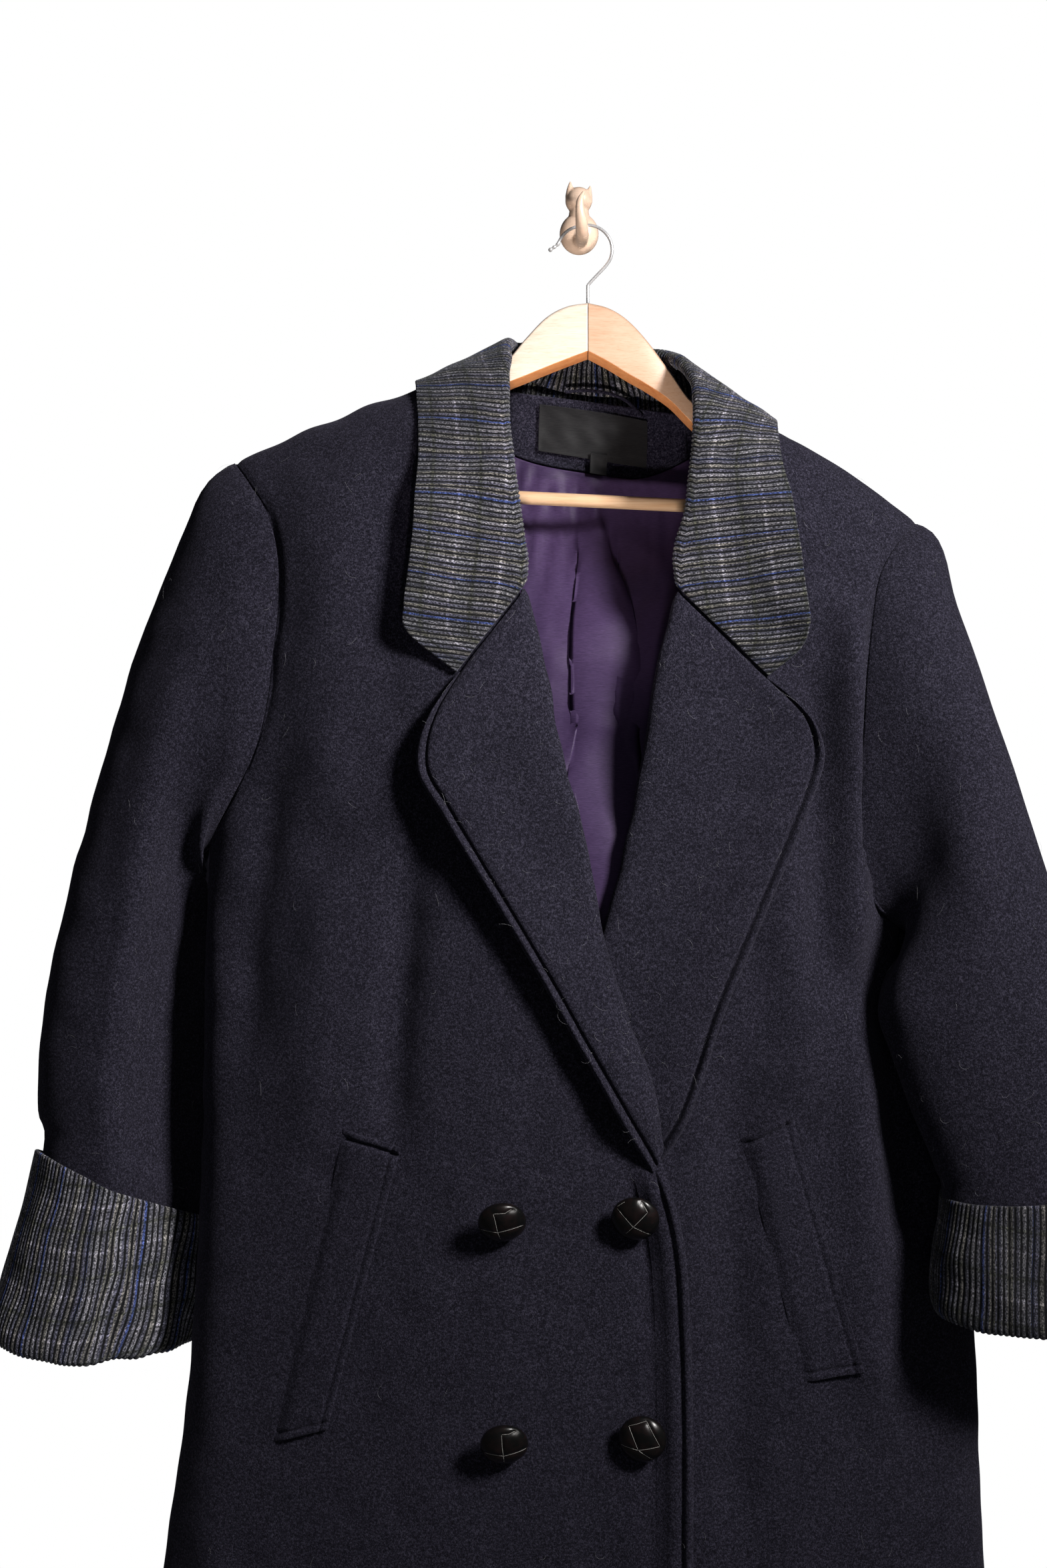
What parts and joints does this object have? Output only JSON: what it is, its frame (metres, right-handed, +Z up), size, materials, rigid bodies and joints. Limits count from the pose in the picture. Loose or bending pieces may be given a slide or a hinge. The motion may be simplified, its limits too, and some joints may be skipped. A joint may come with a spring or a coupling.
{
  "type": "long double-breasted coat hanging on a wooden hanger from a small wall hook",
  "caption": "Long double-breasted wool coat with wide lapels, corduroy collar and turned-back cuffs, slanted pockets, on a wooden hanger hung from a cat-shaped wall hook.",
  "frame": {"origin": "middle of the wall hook's flat back, on the wall", "axes": "+X to the right of someone who looks at the wall, +Y into the wall, +Z up; the coat hangs along -Z"},
  "size_m": [0.7757, 0.1725, 1.3081],
  "materials": {
    "wool": "matt fulled navy wool",
    "corduroy": "cut corduroy in a grey, olive and navy check",
    "satin": "purple satin",
    "label_cloth": "black satin ribbon",
    "loop_cord": "dark braid",
    "button_leather": "polished black leather",
    "arm_wood": "clear satin varnish",
    "bar_wood": "clear satin varnish",
    "wire_metal": "polished wire",
    "hook_metal": "satin copper plate"
  },
  "bodies": {
    "root": {"back": "wool", "front_right": "wool", "front_left": "wool", "sleeve_right": "wool", "sleeve_left": "wool", "cuff_right": "corduroy", "cuff_left": "corduroy", "lapel_right": "wool", "lapel_left": "wool", "collar": "corduroy", "pocket_welt_right": "wool", "pocket_welt_left": "wool", "button_1": "button_leather", "button_2": "button_leather", "button_3": "button_leather", "button_4": "button_leather", "neck_facing": "wool", "lining_back": "satin", "neck_label": "label_cloth", "size_tab": "label_cloth", "hang_loop": "loop_cord", "hanger_arm_right": "arm_wood", "hanger_arm_left": "arm_wood", "hanger_bar": "bar_wood", "hanger_hook": "wire_metal", "wall_hook": "hook_metal"}
  },
  "joints": []
}
